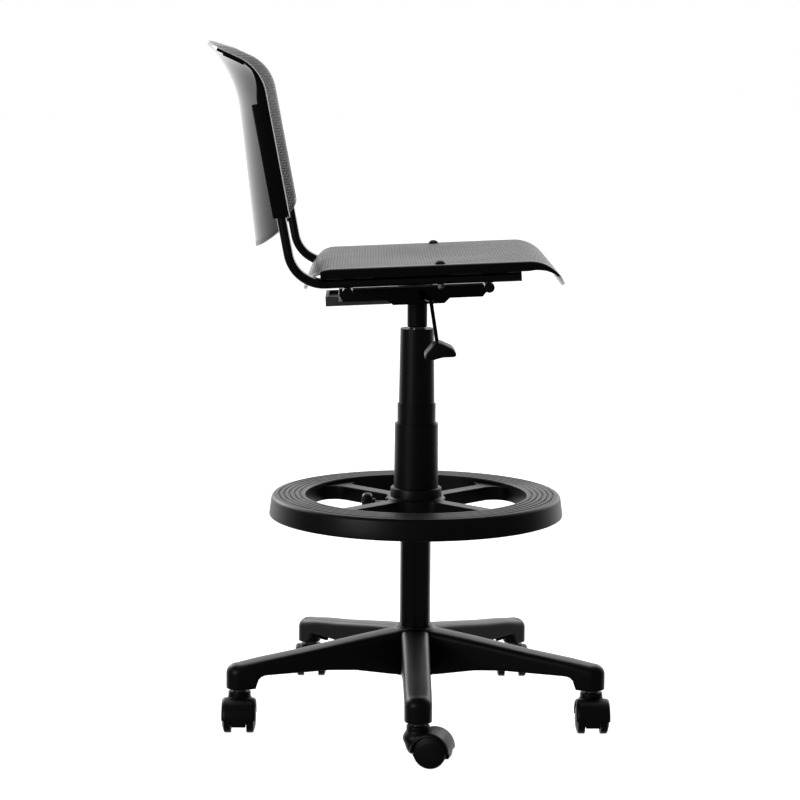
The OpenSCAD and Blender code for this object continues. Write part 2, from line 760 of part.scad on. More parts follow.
// Section of the paddle, y along the chair and z up, from the rod's end
module paddle_profile() {
    polygon([[-28, -8], [-27, -12.5], [-22, -13.5], [-7, -14], [8, -18.5], [18, -19], [21, -16], [20, -10],
        [8, 4], [2, 7.5], [-5, 7], [-23, -1]]);
}

module lever_paddle() {
    paddle_len = 58;
    color(moulded_black) at_column() difference() {
        translate([lever_end.x - paddle_len + 12, lever_end.y, lever_end.z + 1]) side_on()
            linear_extrude(paddle_len) paddle_profile();
        rod_between(lever_elbow, lever_end, lever_d + 2 * running);
    }
}

// ---- frame

// Axis of a side tube: level run, bend, upright. Local x' rearwards, y' up, from the seat bolts.
module side_tube_solid(w, t, from, upright_len) {
    corner = [corner_y, -tube_drop];
    level_end = corner.x - bend_tangent;
    centre = [level_end, corner.y + bend_r];
    oval_run([from, corner.y], 0, level_end - from, w, t);
    translate([centre.x, centre.y, 0]) rotate([0, 0, -90]) rotate_extrude(angle = bend_turn)
        translate([bend_r, 0]) polygon([for (p = oval(w, t)) [p.y, p.x]]);
    start = centre + bend_r * [sin(bend_turn), -cos(bend_turn)];
    oval_run(start, bend_turn, upright_len, w, t);
}

module side_tube(x) {
    color(paint_black) on_seat() translate([x, 0, 0]) difference() {
        side_on() side_tube_solid(tube_w, tube_t, tube_front, upright_len);
        side_on() side_tube_solid(tube_w - 2 * tube_wall, tube_t - 2 * tube_wall, tube_front - through,
            upright_len + through);
        translate([0, 0, -tube_drop - tube_t]) cylinder(d = seat_screw_d + 2 * running, h = 2 * tube_t);
    }
}

module left_side_tube() { side_tube(tube_x); }
module right_side_tube() { side_tube(-tube_x); }

module crossbar(y) {
    color(paint_black) on_seat() translate([0, y, -bar_drop]) difference() {
        rotate([0, 90, 0]) cylinder(d = crossbar_d, h = 2 * bar_half, center = true);
        rotate([0, 90, 0]) cylinder(d = crossbar_d - 2 * bar_wall, h = 2 * bar_half - 6, center = true);
        for (x = [-mech_bolt_x, mech_bolt_x]) translate([x, 0, -crossbar_d])
            cylinder(d = seat_screw_d + 2 * running, h = 2 * crossbar_d);
    }
}

module front_crossbar() { crossbar(front_bar); }
module rear_crossbar() { crossbar(rear_bar); }

module tube_end_caps() {
    cap = 2.5;
    plug = 14;
    color(moulded_black) on_seat() for (x = [-tube_x, tube_x]) translate([x, 0, 0]) side_on() {
        oval_run([tube_front - cap, -tube_drop], 0, cap, tube_w, tube_t);
        oval_run([tube_front - 1, -tube_drop], 0, plug, tube_w - 2 * tube_wall - 2 * running,
            tube_t - 2 * tube_wall - 2 * running);
    }
}

// ---- seat

seat_flat_half = seat_w / 2 - skirt_r;
skirt_arc = skirt_r * PI / 2;

// The rear lip has its side length from the outer edge of the side tubes outwards
function lip_len(u, mid, side, edge, fall) =
    let (t = min(1, abs(u) / edge)) mid + (side - mid) * pow(t, fall);

function skirt_x(u) = let (s = abs(u) - seat_flat_half)
    sign(u) * (s <= 0 ? abs(u) : s < skirt_arc ? seat_flat_half + turned_along(s, skirt_r) : seat_w / 2);

function skirt_z(u) = let (s = abs(u) - seat_flat_half)
    s <= 0 ? 0 : s < skirt_arc ? turned_down(s, skirt_r) : skirt_r + s - skirt_arc;

function lip_y(s, r, turn) = let (arc = r * turn * PI / 180)
    s <= 0 ? s : s < arc ? turned_along(s, r) : r * sin(turn) + (s - arc) * cos(turn);

function lip_z(s, r, turn) = let (arc = r * turn * PI / 180)
    s <= 0 ? 0 : s < arc ? turned_down(s, r) : r * (1 - cos(turn)) + (s - arc) * sin(turn);

function dish(x, y) = let (a = 1 - pow(x / (tube_x - 20), 2), b = 1 - pow(y / (seat_flat / 2), 2))
    a > 0 && b > 0 ? seat_dish * a * a * b * b : 0;

// v runs from -2 (front edge) through -1..1 (flat) to 2 (rear edge)
seat_skin = function (u, v)
    let (front = v < 0,
         over = max(0, abs(v) - 1),
         along = min(1, abs(v)) * seat_flat / 2,
         s = over * (front ? lip_len(u, front_lip_mid, front_lip_side, seat_flat_half, 2.4)
             : lip_len(u, rear_lip_mid, rear_lip_side, tube_x + rear_lip_past_tube, 1.5)),
         r = front ? front_lip_r : rear_lip_r,
         turn = front ? front_lip_turn : rear_lip_turn,
         y = (front ? -1 : 1) * (along + (over > 0 ? lip_y(s, r, turn) : 0)),
         drop = (over > 0 ? lip_z(s, r, turn) : 0) + skirt_z(u) * (1 - 0.65 * over))
    [skirt_x(u), y + seat_mid_y - bolt_y, -drop - dish(skirt_x(u), y)];

module seat_shell() {
    half = seat_flat_half;
    us = concat([-half - skirt_arc - skirt_drop], spread(-half - skirt_arc, -half, 3),
        spread(-half * 0.9, half * 0.9, 12), spread(half, half + skirt_arc, 3), [half + skirt_arc + skirt_drop]);
    vs = concat(spread(-2, -1, 8), spread(-0.8, 0.8, 6), spread(1, 2, 8));
    pad_h = tube_drop - tube_t / 2 - seat_wall;
    color(shell_black) on_seat() difference() {
        union() {
            sheet(seat_skin, us, vs, seat_wall);
            for (x = [-tube_x, tube_x], y = [-85, 0, 85])
                translate([x - 11, y - 18, -seat_wall - pad_h]) cube([22, 36, pad_h + 2]);
        }
        for (x = [-tube_x, tube_x]) translate([x, 0, -seat_wall - pad_h - through])
            cylinder(d = seat_screw_d + 2 * running, h = pad_h + seat_wall + 2 * through);
    }
}

module seat_bolts() {
    head_d = 18;
    head_h = 5.5;
    sphere_r = (head_d * head_d / 4 + head_h * head_h) / (2 * head_h);
    color(paint_black) on_seat() for (x = [-tube_x, tube_x]) translate([x, 0, 0]) {
        translate([0, 0, 0.1]) intersection() {
            translate([0, 0, head_h - sphere_r]) sphere(r = sphere_r);
            cylinder(d = head_d + 2, h = head_h + 1);
        }
        translate([0, 0, -tube_drop - tube_t / 2 - 9]) cylinder(d = seat_screw_d, h = tube_drop + tube_t / 2 + 10);
    }
}

module seat_nuts() {
    color(zinc) on_seat() for (x = [-tube_x, tube_x])
        translate([x, 0, -tube_drop - tube_t / 2 - 6.1]) difference() {
            cylinder(d = 11, h = 6, $fn = 6);
            translate([0, 0, -through]) cylinder(d = seat_screw_d + 2 * running, h = 6 + 2 * through);
        }
}

// ---- backrest, in the chair's upright frame: y rearwards, z up, from the foot of the sleeves

function rolled(s, straight, lean, r, turn) =
    let (arc = r * turn * PI / 180, a0 = 90 - lean, p1 = straight * [cos(a0), sin(a0)])
    s <= straight ? s * [cos(a0), sin(a0)]
    : s < straight + arc
        ? let (a = a0 - (s - straight) / r * 180 / PI) p1 + r * [sin(a0) - sin(a), cos(a) - cos(a0)]
        : let (a = a0 - turn) p1 + r * [sin(a0) - sin(a), cos(a) - cos(a0)]
            + (s - straight - arc) * [cos(a), sin(a)];

edge_len = back_straight + back_roll_r * back_roll_turn * PI / 180 + back_tail;
mid_len = mid_straight + mid_roll_r * mid_roll_turn * PI / 180 + mid_tail;

back_skin = function (u, v)
    let (t = abs(u) / bow_half,
         bow = t < 1 ? pow(1 - t * t, 1.25) : 0,
         corner = 1 - 0.05 * pow(min(1, abs(u) / back_half_w), 10) * pow(max(0, v), 3),
         edge = rolled(v * corner * edge_len, back_straight, back_lean, back_roll_r, back_roll_turn),
         mid = [back_hollow, -mid_drop] + rolled(v * mid_len, mid_straight, mid_lean, mid_roll_r, mid_roll_turn),
         p = edge + bow * (mid - edge))
    [u, foot_y + p.x, foot_z + p.y];

// Tube axis at the foot of the sleeves, and the sleeve round it
module along_upright(rise) {
    side_on() translate([foot_y + shell_front / cos(back_lean), foot_z, 0]) rotate([0, 0, 90 - back_lean])
        translate([rise, 0, 0]) rotate([0, 90, 0]) children();
}

module sleeve(x) {
    depth = sleeve_back + shell_front - 1.5;
    half_w = sleeve_half_w - 0.6;
    difference() {
        translate([x, 0, 0]) along_upright(1) translate([-half_w, -sleeve_back, 0])
            linear_extrude(sleeve_len) polygon([
                [0, 1.5], [1.5, 0], [2 * half_w - 1.5, 0], [2 * half_w, 1.5], [2 * half_w, depth], [0, depth]]);
        translate([x, 0, 0]) along_upright(-5)
            linear_extrude(sleeve_len + 5 - sleeve_end_wall)
                polygon(oval(tube_w + 2 * slip, tube_t + 2 * slip));
    }
}

module backrest_shell() {
    us = concat([-back_half_w + 0.2], spread(-bow_half, bow_half, 16), [back_half_w - 0.2]);
    vs = concat(spread(0, 0.62, 7), spread(0.66, 0.9, 9), [0.95, 1]);
    color(shell_black) at_column() {
        sheet(back_skin, us, vs, back_wall);
        for (x = [-tube_x, tube_x]) sleeve(x);
    }
}

// ---- drawing

base_star();
column_tube();
guide_bushing();
piston_rod();
thrust_bearing();
rod_clip();
foot_ring();
clamp_knob();
clamp_screw();
lower_cover();
middle_cover();
upper_cover();
gas_cylinder();
valve_pin();
mechanism_plate();
mechanism_socket();
rear_bracket();
mechanism_bolts();
lever_rod();
lever_pivot_pin();
lever_paddle();
left_side_tube();
right_side_tube();
front_crossbar();
rear_crossbar();
tube_end_caps();
seat_shell();
seat_bolts();
seat_nuts();
backrest_shell();
for (k = [0 : 4]) {
    caster_hood(k);
    caster_stem(k);
    caster_axle(k);
    caster_wheel(k, 1);
    caster_wheel(k, -1);
}
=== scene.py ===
import math

import bpy
from mathutils import Matrix, Vector


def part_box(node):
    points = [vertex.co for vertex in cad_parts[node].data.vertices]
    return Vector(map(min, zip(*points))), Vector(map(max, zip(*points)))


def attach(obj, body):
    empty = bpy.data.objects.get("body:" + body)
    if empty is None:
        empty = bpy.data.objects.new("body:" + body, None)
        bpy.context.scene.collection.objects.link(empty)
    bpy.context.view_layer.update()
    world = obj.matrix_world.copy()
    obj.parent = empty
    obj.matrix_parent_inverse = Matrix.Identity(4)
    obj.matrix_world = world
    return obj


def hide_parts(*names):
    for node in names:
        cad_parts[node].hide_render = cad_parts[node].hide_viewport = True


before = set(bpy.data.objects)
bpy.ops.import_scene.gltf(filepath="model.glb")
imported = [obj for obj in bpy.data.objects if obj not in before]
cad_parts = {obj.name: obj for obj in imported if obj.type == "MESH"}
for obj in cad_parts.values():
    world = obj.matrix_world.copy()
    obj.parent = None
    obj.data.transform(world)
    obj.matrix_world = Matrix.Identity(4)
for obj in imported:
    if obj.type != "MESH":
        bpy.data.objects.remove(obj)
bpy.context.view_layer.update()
print("frame loaded:", len(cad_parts), "nodes")

mm = 0.001
zToY = Matrix.Rotation(math.radians(-90), 4, "X")
columnLow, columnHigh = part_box("column_tube")
columnX = (columnLow.x + columnHigh.x) / 2
columnY = (columnLow.y + columnHigh.y) / 2

sheetSlots = 4  # a painted sheet has a face, a border, and the same two behind
channelFlat, channelRound = 0.4, 0.75  # shares of a channel's half section that are flat and rounded


# ---- small tools

def deselectAll():
    if bpy.context.object and bpy.context.object.mode != "OBJECT":
        bpy.ops.object.mode_set(mode="OBJECT")
    bpy.ops.object.select_all(action="DESELECT")


def pick(*pieces):
    deselectAll()
    for piece in pieces:
        piece.select_set(True)
    bpy.context.view_layer.objects.active = pieces[0]


def finishWith(piece, kind, **settings):
    modifier = piece.modifiers.new(kind.title(), kind)
    for key, value in settings.items():
        setattr(modifier, key, value)
    pick(piece)
    bpy.ops.object.modifier_apply(modifier=modifier.name)


def fixToFrame(piece, matrix):  # puts the place into the mesh, the object stays at the origin
    piece.data.transform(matrix)
    piece.data.update()


def aboutZ(degrees):
    return Matrix.Rotation(math.radians(degrees), 4, "Z")


def onColumn(heading=0.0):  # millimetres about the column's axis, turned about it by degrees
    return Matrix.Translation((columnX, columnY, 0)) @ aboutZ(heading) @ Matrix.Scale(mm, 4)


def copiesOf(piece, places):  # one copy at each place, the piece itself goes
    copies = []
    for place in places:
        copy = piece.copy()
        copy.data = piece.data.copy()
        bpy.context.scene.collection.objects.link(copy)
        fixToFrame(copy, place)
        copies.append(copy)
    bpy.data.objects.remove(piece)
    return copies


def joinPieces(name, pieces):
    pick(*pieces)
    if len(pieces) > 1:
        bpy.ops.object.join()
    joined = bpy.context.object
    joined.name = joined.data.name = name
    return joined


def closeUp(piece, distance=0.02):  # merges doubles and turns the faces outwards
    pick(piece)
    bpy.ops.object.mode_set(mode="EDIT")
    bpy.ops.mesh.select_all(action="SELECT")
    bpy.ops.mesh.remove_doubles(threshold=distance)
    bpy.ops.mesh.normals_make_consistent(inside=False)
    bpy.ops.object.mode_set(mode="OBJECT")


def smooth(piece, degrees=35):
    pick(piece)
    bpy.ops.object.shade_smooth_by_angle(angle=math.radians(degrees))


def shapedSheet(name, columns, rows, place, paint=None):  # a grid moved to place(u, v), each from -1 to 1
    deselectAll()
    bpy.ops.mesh.primitive_grid_add(x_subdivisions=columns, y_subdivisions=rows, size=2)
    piece = bpy.context.object
    piece.name = piece.data.name = name
    if paint:
        for number in range(sheetSlots):
            piece.data.materials.append(bpy.data.materials.new("spare%d" % number))
        for face in piece.data.polygons:
            face.material_index = paint(face.center.x, face.center.y)
    for vertex in piece.data.vertices:
        vertex.co = place(vertex.co.x, vertex.co.y)
    piece.data.update()
    return piece


def turned(name, outline, steps=96):  # closed outline of (radius, height) points, spun about the z axis
    deselectAll()
    bpy.ops.mesh.primitive_circle_add(vertices=len(outline), radius=1, fill_type="NOTHING")
    piece = bpy.context.object
    piece.name = piece.data.name = name
    for vertex, (radius, height) in zip(piece.data.vertices, outline):
        vertex.co = (radius, 0, height)
    bpy.ops.object.mode_set(mode="EDIT")
    bpy.ops.mesh.select_all(action="SELECT")
    bpy.ops.mesh.spin(steps=steps, angle=2 * math.pi, center=(0, 0, 0), axis=(0, 0, 1))
    bpy.ops.object.mode_set(mode="OBJECT")
    closeUp(piece, 0.005)
    return piece


def roundedBlock(name, size, centre, radius, segments=3):
    deselectAll()
    bpy.ops.mesh.primitive_cube_add(size=1)
    piece = bpy.context.object
    piece.name = piece.data.name = name
    for vertex in piece.data.vertices:
        vertex.co = [vertex.co[i] * size[i] + centre[i] for i in range(3)]
    bpy.ops.object.mode_set(mode="EDIT")
    bpy.ops.mesh.select_all(action="SELECT")
    bpy.ops.mesh.bevel(offset=radius, segments=segments, affect="EDGES")
    bpy.ops.object.mode_set(mode="OBJECT")
    return piece


def softened(outline, radius, steps=3):  # rounds each corner of an outline by up to radius
    rounded = []
    count = len(outline)
    for i in range(count):
        before, here, after = (Vector(outline[(i + k) % count]) for k in (-1, 0, 1))
        back, ahead = before - here, after - here
        cut = min(radius, back.length * 0.45, ahead.length * 0.45)
        start, end = here + back.normalized() * cut, here + ahead.normalized() * cut
        for k in range(steps + 1):
            t = k / steps
            rounded.append(tuple(start * (1 - t) ** 2 + here * 2 * t * (1 - t) + end * t * t))
    return rounded


def smoothStep(x):
    x = min(1, max(0, x))
    return x * x * (3 - 2 * x)


def along(points, x):  # value at x on the straight lines through (x, value) points
    if x <= points[0][0]:
        return points[0][1]
    for (x0, y0), (x1, y1) in zip(points, points[1:]):
        if x <= x1:
            return y0 + (y1 - y0) * (x - x0) / (x1 - x0)
    return points[-1][1]


def quarterTurn(t):  # angle in a channel's rounded corner, and the share of its side wall
    angle = min(1, max(0, (t - channelFlat) / (channelRound - channelFlat))) * math.pi / 2
    return angle, max(0, (t - channelRound) / (1 - channelRound))


def channel(u, halfWidth, depth, radius, crown=0.0):  # inverted U: (across, drop) for u from -1 to 1
    t, flat = abs(u), halfWidth - radius
    angle, wall = quarterTurn(t)
    if t < channelFlat:
        across, drop = flat * t / channelFlat, 0
    elif t < channelRound:
        across, drop = flat + radius * math.sin(angle), radius * (1 - math.cos(angle))
    else:
        across, drop = halfWidth, radius + (depth - radius) * wall
    drop += crown * (across / halfWidth) ** 2 * (1 - wall)
    return math.copysign(across, u), drop


def addPiece(piece, body, slotName, material, *nodes):
    names = [material] if isinstance(material, str) else material
    for number, key in enumerate(names):
        if number < len(piece.data.materials):
            piece.data.materials[number] = materials[key]
        else:
            piece.data.materials.append(materials[key])
    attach(piece, body)
    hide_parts(*nodes)
    return piece


# ---- materials

def linear(hexColour):  # sRGB hex to linear colour
    channels = [int(hexColour[i:i + 2], 16) / 255 for i in (1, 3, 5)]
    return [c / 12.92 if c <= 0.04045 else ((c + 0.055) / 1.055) ** 2.4 for c in channels] + [1]


def addNode(tree, kind, settings=None, links=None):
    node = tree.nodes.new(kind)
    for key, value in (settings or {}).items():
        if hasattr(node, key) and key not in node.inputs:
            setattr(node, key, value)
        else:
            node.inputs[key].default_value = value
    for key, source in (links or {}).items():
        tree.links.new(source, node.inputs[key])
    return node


def blankMaterial(name):
    material = bpy.data.materials.new(name)
    material.use_nodes = True
    material.node_tree.nodes.clear()
    return material, material.node_tree


def closeMaterial(tree, shader):
    output = addNode(tree, "ShaderNodeOutputMaterial")
    tree.links.new(shader.outputs[0], output.inputs["Surface"])


def ribHeight(tree, place, pitch, direction):  # bands of that pitch in metres across one direction
    bandScale = 2 * math.pi / (20 * pitch)  # a wave texture has 20 radians for each unit
    return addNode(tree, "ShaderNodeTexWave", {"bands_direction": direction, "Scale": bandScale,
                                               "Distortion": 0.0, "Detail": 0.0}, {"Vector": place})


# lengths in metres: blotch and grain are the sizes of cloudiness and texture, bump the texture's height
def finishMaterial(name, dark, light, roughness, spread, grain, bump, ior=1.5, metallic=0.0, coat=0.0,
                   blotch=0.06, ribs=None, tilt=0.0, ribDepth=0.0, ribPitch=0.004):
    material, tree = blankMaterial(name)
    place = addNode(tree, "ShaderNodeTexCoord").outputs["Object"]
    cloud = addNode(tree, "ShaderNodeTexNoise", {"Scale": 1 / blotch, "Detail": 4.0, "Roughness": 0.6},
                    {"Vector": place})
    fine = addNode(tree, "ShaderNodeTexNoise", {"Scale": 1 / grain, "Detail": 2.0, "Roughness": 0.5},
                   {"Vector": place})
    colour = addNode(tree, "ShaderNodeMix", {"data_type": "RGBA"}, {"Factor": cloud.outputs["Fac"]})
    colour.inputs[6].default_value = linear(dark)
    colour.inputs[7].default_value = linear(light)
    gloss = addNode(tree, "ShaderNodeMapRange",
                    {"To Min": roughness - spread, "To Max": roughness + spread},
                    {"Value": cloud.outputs["Fac"]})
    relief = addNode(tree, "ShaderNodeBump", {"Strength": 1.0, "Distance": bump},
                     {"Height": fine.outputs["Fac"]})
    if ribs:
        turn = addNode(tree, "ShaderNodeMapping", {"Rotation": (tilt, 0, 0)}, {"Vector": place})
        height = None
        for direction in ribs:
            band = ribHeight(tree, turn.outputs["Vector"], ribPitch, direction)
            if height is None:
                height = band.outputs["Fac"]
            else:
                height = addNode(tree, "ShaderNodeMath", {"operation": "MULTIPLY"},
                                 {0: height, 1: band.outputs["Fac"]}).outputs[0]
        relief = addNode(tree, "ShaderNodeBump", {"Strength": 1.0, "Distance": ribDepth},
                         {"Height": height, "Normal": relief.outputs["Normal"]})
    shader = addNode(tree, "ShaderNodeBsdfPrincipled",
                     {"Metallic": metallic, "IOR": ior, "Coat Weight": coat, "Coat Roughness": 0.12},
                     {"Base Color": colour.outputs[2], "Roughness": gloss.outputs["Result"],
                      "Normal": relief.outputs["Normal"]})
    closeMaterial(tree, shader)
    return material


gridPitch, gridDepth = 0.0044, 0.0009  # metres, the cells of the seat and backrest
seatSlope = 2.6  # degrees, down to the rear

materials = {
    # glass-filled nylon, injection moulded in a lightly grained tool: near black, broad soft highlights
    "nylon": finishMaterial("mouldedNylon", "#0b0b0c", "#121213", 0.40, 0.05, 0.0009, 0.00003, ior=1.53),
    # the same nylon where it rolls on floors: duller, with dust in it
    "wheel": finishMaterial("rolledNylon", "#0c0c0d", "#171717", 0.46, 0.07, 0.0012, 0.00004, ior=1.53,
                            blotch=0.02),
    # polypropylene shell, smooth moulded: satin, grey where light grazes it
    "shell": finishMaterial("satinPolypropylene", "#0b0a0a", "#111010", 0.28, 0.05, 0.0012, 0.00002,
                            ior=1.49),
    # the backrest's rear face, out of a polished half of the tool: bright where light grazes it
    "backRear": finishMaterial("polishedPolypropylene", "#0b0a0a", "#111010", 0.13, 0.03, 0.0012, 0.00001,
                               ior=1.49),
    # polypropylene with the moulded grid of the sitting face
    "grid": finishMaterial("griddedPolypropylene", "#0a0a0b", "#111112", 0.38, 0.04, 0.0012, 0.00002,
                           ior=1.49, ribs=("X", "Y"), tilt=math.radians(seatSlope), ribDepth=gridDepth,
                           ribPitch=gridPitch),
    # the same on the leaning face of the backrest, cells up the shell
    "gridBack": finishMaterial("ribbedPolypropylene", "#0a0a0b", "#111112", 0.38, 0.04, 0.0012, 0.00002,
                               ior=1.49, ribs=("Z", "X"), ribDepth=gridDepth, ribPitch=gridPitch),
    # powder coated steel, gloss black, with a faint orange peel
    "coated": finishMaterial("glossPowderCoat", "#060607", "#0b0b0c", 0.22, 0.04, 0.0030, 0.00006, ior=1.5,
                             coat=0.3),
    # the same powder coat on pressed plate, dull where dust lies on it
    "plate": finishMaterial("dullPowderCoat", "#060607", "#0c0c0c", 0.55, 0.06, 0.0020, 0.00004, ior=1.45),
    # zinc plated pressed steel: grey, soft, cloudy
    "zinc": finishMaterial("zincPlatedSteel", "#8c8d8a", "#b3b3ae", 0.34, 0.08, 0.0010, 0.00002,
                           metallic=1.0, blotch=0.012),
    # ground and chromed rod: sharp reflections
    "chrome": finishMaterial("groundChrome", "#c4c6c8", "#d2d3d4", 0.08, 0.02, 0.0006, 0.000004,
                             metallic=1.0, blotch=0.03),
    # natural acetal bushing: milky, waxy
    "acetal": finishMaterial("naturalAcetal", "#d9d6cb", "#e6e3d8", 0.42, 0.04, 0.0010, 0.00002, ior=1.48),
}

nodeFinish = {
    "plate": ["mechanism_plate", "mechanism_socket"],
    "coated": ["column_tube", "lever_rod", "left_side_tube", "right_side_tube", "front_crossbar",
               "rear_crossbar"],
    "zinc": ["rear_bracket", "mechanism_bolts", "lever_pivot_pin", "seat_nuts", "thrust_bearing",
             "rod_clip", "clamp_screw"],
    "chrome": ["piston_rod", "gas_cylinder", "valve_pin"],
    "acetal": ["guide_bushing"],
    "shell": ["seat_shell", "backrest_shell"],
}
for node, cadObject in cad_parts.items():
    finish = next((key for key, names in nodeFinish.items() if node in names), "nylon")
    if node.startswith("caster_"):
        finish = "wheel" if "_wheel_" in node else "zinc" if node.endswith(("_stem", "_axle")) else "nylon"
    cadObject.data.materials.clear()
    cadObject.data.materials.append(materials[finish])
print("materials laid on the frame")


# ---- seat shell

seat = {"slope": seatSlope, "height": 760, "boltY": -30, "middleY": -15,  # millimetres about the column
        "width": 440, "flat": 300, "wall": 5, "dish": 5, "tubeX": 200,
        # radius, degrees, length in the middle and at the sides, how it falls between, skirt lost
        "frontLip": (60, 60, 90, 52, 2.4, 0.65), "rearLip": (45, 65, 75, 19, 1.5, 0.1),
        "skirtRadius": 7, "skirtDrop": 8, "flatShare": 0.8, "bendShare": 0.94, "smoothFrom": 0.775,
        "border": 0.14, "dishClear": 20,
        "pad": (22, 36), "padPlaces": (-85, 0, 85), "padDrop": 11,
        # ribs under the seat: width, (length, height, middle), places
        "rib": 2.4, "longRib": (262, 11, (15, -10)), "longRibPlaces": (-135, -90, 90, 135),
        "crossRib": (272, 10, -10.5), "crossRibPlaces": (-105, -25, 55, 135)}
seatFrame = (onColumn() @ Matrix.Translation((0, seat["boltY"], seat["height"]))
             @ Matrix.Rotation(math.radians(-seat["slope"]), 4, "X"))


def rolledOver(run, radius, degrees):  # (forward, down) after a run along an edge that rolls over
    turn = math.radians(degrees)
    if run <= 0:
        return run, 0
    if run < radius * turn:
        return radius * math.sin(run / radius), radius * (1 - math.cos(run / radius))
    rest = run - radius * turn
    return (radius * math.sin(turn) + rest * math.cos(turn),
            radius * (1 - math.cos(turn)) + rest * math.sin(turn))


def seatPoint(u, v):
    bend, flatHalf, t = seat["skirtRadius"], seat["width"] / 2 - seat["skirtRadius"], abs(u)
    flatShare, bendShare = seat["flatShare"], seat["bendShare"]
    if t < flatShare:
        x, skirt = flatHalf * t / flatShare, 0
    elif t < bendShare:
        angle = (t - flatShare) / (bendShare - flatShare) * math.pi / 2
        x, skirt = flatHalf + bend * math.sin(angle), bend * (1 - math.cos(angle))
    else:
        x, skirt = seat["width"] / 2, bend + seat["skirtDrop"] * (t - bendShare) / (1 - bendShare)
    over = max(0, abs(v) * 2 - 1)
    radius, degrees, middle, side, fall, lost = seat["frontLip"] if v < 0 else seat["rearLip"]
    length = middle + (side - middle) * min(1, x / flatHalf) ** fall
    forward, down = rolledOver(over * length, radius, degrees)
    y = math.copysign(min(1, abs(v) * 2) * seat["flat"] / 2 + forward, v)
    hollowX, hollowY = 1 - (x / (seat["tubeX"] - seat["dishClear"])) ** 2, 1 - (y / (seat["flat"] / 2)) ** 2
    hollow = seat["dish"] * hollowX ** 2 * hollowY ** 2 if hollowX > 0 and hollowY > 0 else 0
    return (math.copysign(x, u), y + seat["middleY"] - seat["boltY"],
            -down - skirt * (1 - lost * over) - hollow)


def seatFace(u, v):  # 0 gridded, 1 smooth border
    return 1 if abs(u) > seat["smoothFrom"] or abs(v) > 1 - seat["border"] / 2 else 0


def makeSeat():
    shell = shapedSheet("seatShellMoulding", 80, 90, seatPoint, seatFace)
    finishWith(shell, "SOLIDIFY", thickness=seat["wall"], offset=-1, material_offset=2,
               material_offset_rim=1)
    finishWith(shell, "BEVEL", width=1.3, segments=2, limit_method="ANGLE", angle_limit=math.radians(60))
    extras = []
    for x in (-seat["tubeX"], seat["tubeX"]):  # pads that stand on the side tubes
        for y in seat["padPlaces"]:
            middle = (x, y, -seat["wall"] - seat["padDrop"] / 2 + 1)
            extras.append(roundedBlock("pad", (*seat["pad"], seat["padDrop"] + 2), middle, 0.8, 2))
    length, height, (middleY, middleZ) = seat["longRib"]
    for x in seat["longRibPlaces"]:  # stiffening ribs under the seat
        extras.append(roundedBlock("rib", (seat["rib"], length, height), (x, middleY, middleZ), 0.6, 1))
    length, height, middleZ = seat["crossRib"]
    for y in seat["crossRibPlaces"]:
        extras.append(roundedBlock("rib", (length, seat["rib"], height), (0, y, middleZ), 0.6, 1))
    shell = joinPieces("seatShellMoulding", [shell] + extras)
    fixToFrame(shell, seatFrame)
    smooth(shell, 40)
    addPiece(shell, "seat", "polypropylene", ("grid", "shell", "shell", "shell"), "seat_shell")


# ---- backrest shell

back = {"lean": 10.8, "footY": 199.44, "footZ": 830, "halfWidth": 219.5, "bowHalf": 183.5, "wall": 4.5,
        "straight": 192, "rollRadius": 72, "rollDegrees": 55, "tail": 36,  # the side edges, foot to tip
        "midDrop": 59, "hollow": 55.5, "midLean": 6.5, "midStraight": 215, "midRadius": 183,
        "midDegrees": 35, "midTail": 13,
        "bow": 1.25, "footBow": 0.85, "bowRise": 0.5,  # fullness of the bow, and of the lower edge
        "rimRadius": 3, "flange": 13, "taper": (0.6, 0.26), "footCorner": 14, "topCorner": 12,
        "flatShare": 0.86, "rimShare": 0.94, "gridTo": (0.83, 0.955), "mouth": (3.2, 9),
        "sleeveLength": 175, "sleeveWidth": 39.6, "sleeveFront": 11.3, "sleeveRear": 12.4, "axisBack": 12.8}


def rolledUp(run, straight, lean, radius, degrees):  # (back, up, slope angle) after a run up the shell
    start, turn = math.radians(90 - lean), math.radians(degrees)
    y, z = straight * math.cos(start), straight * math.sin(start)
    if run <= straight:
        return run * math.cos(start), run * math.sin(start), start
    bent = min(turn, (run - straight) / radius)
    angle = start - bent
    rest = max(0, run - straight - radius * turn)
    return (y + radius * (math.sin(start) - math.sin(angle)) + rest * math.cos(angle),
            z + radius * (math.cos(angle) - math.cos(start)) + rest * math.sin(angle), angle)


def cornerCut(x, halfWidth, radius):  # how far a rounded corner holds the edge back at x
    beyond = min(radius, max(0, x - (halfWidth - radius)))
    return radius - math.sqrt(radius * radius - beyond * beyond)


